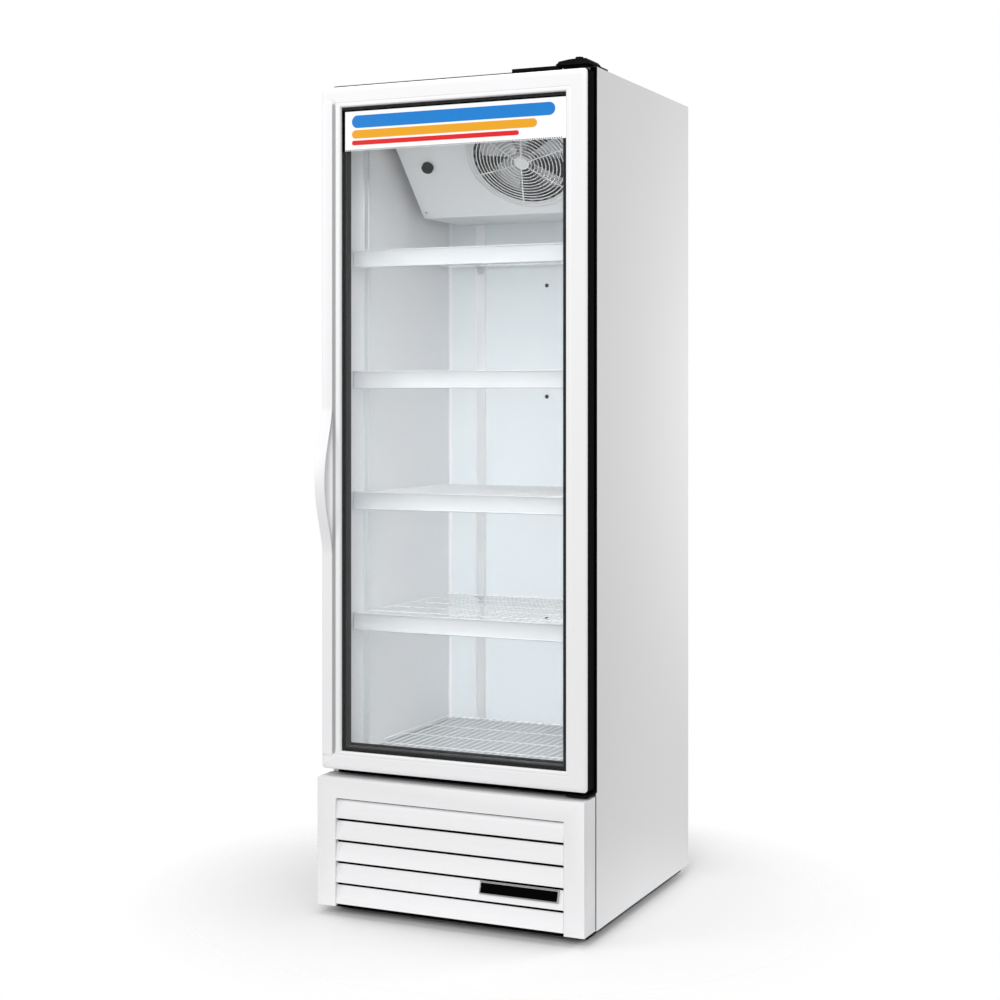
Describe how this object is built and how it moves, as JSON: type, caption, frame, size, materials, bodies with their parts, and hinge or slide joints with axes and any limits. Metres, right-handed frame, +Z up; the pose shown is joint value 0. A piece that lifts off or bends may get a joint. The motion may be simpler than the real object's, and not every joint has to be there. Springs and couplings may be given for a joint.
{
  "type": "glass door merchandiser",
  "caption": "Upright white refrigerated display cabinet with a hinged glass door, wire shelves, a sloped evaporator housing and a louvred machine compartment.",
  "frame": {"origin": "on the floor, at the centre of the whole object's footprint, handle included", "axes": "+Z up, -Y out of the glass door, +X to the right of a person facing the door"},
  "size_m": [0.686, 0.768, 2.0153],
  "materials": {
    "white_coat": "baked white powder coat",
    "liner_white": "coated aluminium liner, satin",
    "stainless": "brushed",
    "foam": "rigid foam, sealed inside the walls",
    "black_coat": "black powder coat",
    "black_plastic": "moulded, fine texture",
    "gasket_rubber": "magnetic door seal",
    "clear_glass": "clear insulated glass",
    "sign_white": "smooth white panel with plain colour bars",
    "wire_coat": "light grey dipped coating on wire",
    "rail_plastic": "pale extruded plastic",
    "galvanised": "zinc coated",
    "aluminium": "mill finish",
    "copper": "bare copper tube",
    "light_lens": "frosted light cover"
  },
  "bodies": {
    "cabinet": {"back_panel": "galvanised", "badge_plate": "black_plastic", "base_frame": "black_coat", "bottom_hinge": "black_coat", "compartment_deck": "galvanised", "evaporator_coil": "aluminium", "evaporator_fan_guard": "wire_coat", "evaporator_fan_motor": "black_coat", "evaporator_housing": "white_coat", "front_frame": "black_plastic", "front_grille": "white_coat", "insulation_foam": "foam", "led_light": "light_lens", "liner_back": "liner_white", "liner_ceiling": "liner_white", "liner_floor": "stainless", "liner_left": "liner_white", "liner_right": "liner_white", "pilaster_front_left": "galvanised", "pilaster_front_right": "galvanised", "pilaster_rear_left": "galvanised", "pilaster_rear_right": "galvanised", "side_panel_left": "white_coat", "side_panel_right": "white_coat", "top_hinge": "black_coat", "top_panel": "white_coat"},
    "door": {"door_stile_handle_side": "white_coat", "door_stile_hinge_side": "white_coat", "door_rail_top": "white_coat", "door_rail_bottom": "white_coat", "door_inner_frame": "black_plastic", "glass_outer": "clear_glass", "glass_inner": "clear_glass", "door_gasket": "gasket_rubber", "sign_panel": "sign_white", "door_handle": "white_coat"},
    "condensing_unit": {"unit_tray": "galvanised", "compressor": "black_coat", "condenser_coil": "aluminium", "condenser_fan_shroud": "black_coat", "condenser_fan_motor": "black_coat", "refrigerant_line": "copper", "electrical_box": "galvanised", "condensate_pan": "black_plastic", "rear_guard": "galvanised"},
    "condenser_fan": {"condenser_fan_blade": "aluminium"},
    "evaporator_fan": {"evaporator_fan_blade": "aluminium"},
    "control_knob": {"thermostat_knob": "black_plastic"},
    "shelf_1": {"wire_shelf_1": "wire_coat", "price_rail_1": "rail_plastic"},
    "shelf_2": {"wire_shelf_2": "wire_coat", "price_rail_2": "rail_plastic"},
    "shelf_3": {"wire_shelf_3": "wire_coat", "price_rail_3": "rail_plastic"},
    "shelf_4": {"wire_shelf_4": "wire_coat", "price_rail_4": "rail_plastic"},
    "foot_front_left": {"leveler_front_left": "galvanised"},
    "foot_front_right": {"leveler_front_right": "galvanised"},
    "foot_rear_left": {"leveler_rear_left": "galvanised"},
    "foot_rear_right": {"leveler_rear_right": "galvanised"}
  },
  "joints": [
    {"name": "door_hinge", "type": "hinge", "parent": "cabinet", "child": "door", "pos_m": [0.3255, -0.3185, 1.17], "axis": [0, 0, 1], "range_deg": [0, 120], "stiffness_Nm_per_rad": 0.6, "springref_deg": -28.65},
    {"name": "condensing_unit_slide", "type": "slide", "parent": "cabinet", "child": "condensing_unit", "axis": [0, 1, 0], "range_m": [0, 0.45]},
    {"name": "condenser_fan_spin", "type": "hinge", "parent": "condensing_unit", "child": "condenser_fan", "pos_m": [-0.095, -0.183, 0.17], "axis": [0, 1, 0], "continuous": true},
    {"name": "evaporator_fan_spin", "type": "hinge", "parent": "cabinet", "child": "evaporator_fan", "pos_m": [0.045, -0.00893, 1.83397], "axis": [0, 0.7071, 0.7071], "continuous": true},
    {"name": "thermostat_knob_turn", "type": "hinge", "parent": "cabinet", "child": "control_knob", "pos_m": [-0.215, -0.016, 1.8269], "axis": [0, -0.7071, -0.7071], "range_deg": [0, 270]},
    {"name": "shelf_1_lift", "type": "slide", "parent": "cabinet", "child": "shelf_1", "axis": [0, 0, 1], "range_m": [0, 0.02]},
    {"name": "shelf_2_lift", "type": "slide", "parent": "cabinet", "child": "shelf_2", "axis": [0, 0, 1], "range_m": [0, 0.03]},
    {"name": "shelf_3_lift", "type": "slide", "parent": "cabinet", "child": "shelf_3", "axis": [0, 0, 1], "range_m": [0, 0.03]},
    {"name": "shelf_4_lift", "type": "slide", "parent": "cabinet", "child": "shelf_4", "axis": [0, 0, 1], "range_m": [0, 0.03]},
    {"name": "leveler_front_left_screw", "type": "slide", "parent": "cabinet", "child": "foot_front_left", "axis": [0, 0, -1], "range_m": [0, 0.02]},
    {"name": "leveler_front_right_screw", "type": "slide", "parent": "cabinet", "child": "foot_front_right", "axis": [0, 0, -1], "range_m": [0, 0.02]},
    {"name": "leveler_rear_left_screw", "type": "slide", "parent": "cabinet", "child": "foot_rear_left", "axis": [0, 0, -1], "range_m": [0, 0.02]},
    {"name": "leveler_rear_right_screw", "type": "slide", "parent": "cabinet", "child": "foot_rear_right", "axis": [0, 0, -1], "range_m": [0, 0.02]}
  ]
}
